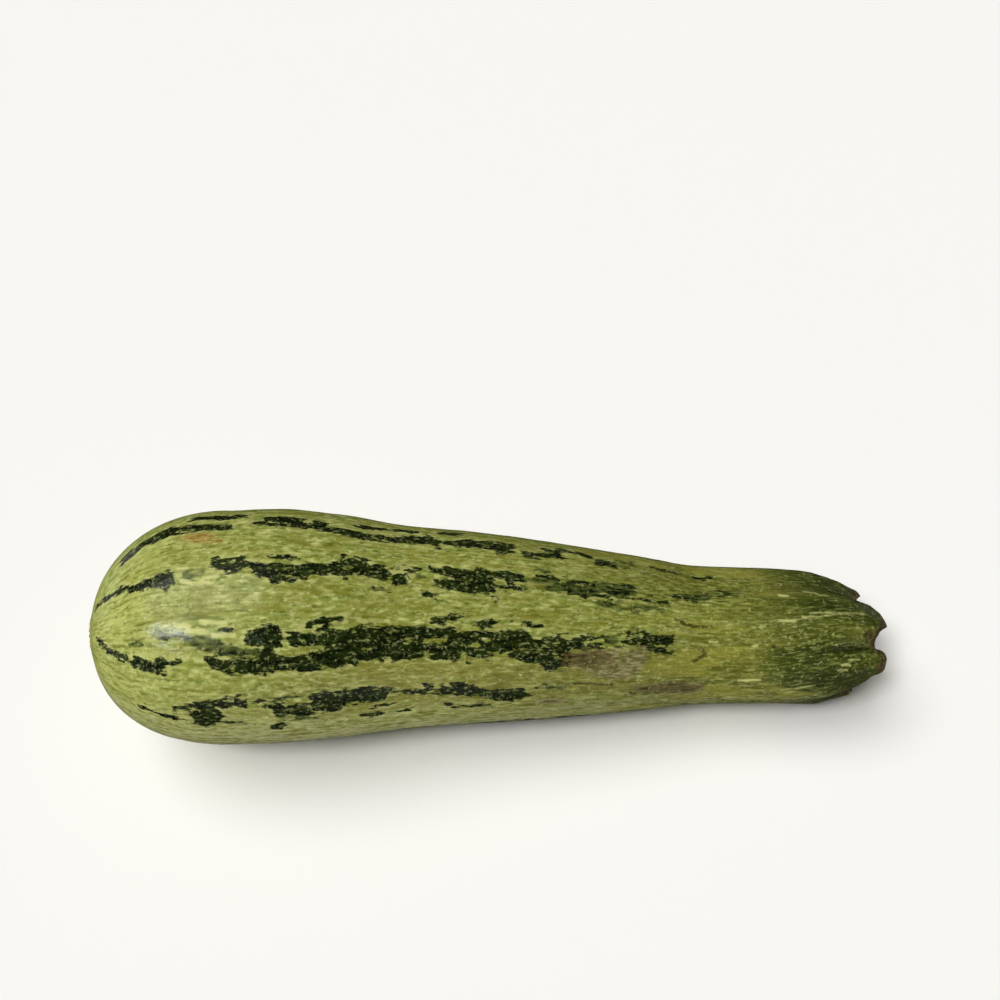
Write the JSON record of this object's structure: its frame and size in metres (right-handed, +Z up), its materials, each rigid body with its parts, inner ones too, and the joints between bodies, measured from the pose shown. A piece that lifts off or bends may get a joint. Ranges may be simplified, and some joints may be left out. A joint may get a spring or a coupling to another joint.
{
  "type": "zucchini",
  "caption": "Striped zucchini as picked, lying on its side: broad blossom end, slimmer neck and a ridged end where the stem was cut off.",
  "frame": {"origin": "on the surface that the fruit lies on, under the middle of its length and width", "axes": "+X along the fruit towards the stem end, +Z up, the blossom end at -X"},
  "size_m": [0.206, 0.061, 0.0597],
  "materials": {
    "skin": "waxy satin skin, yellow-green with ragged dark green stripes, darker at the stem end"
  },
  "bodies": {
    "root": {"zucchini": "skin"}
  },
  "joints": []
}
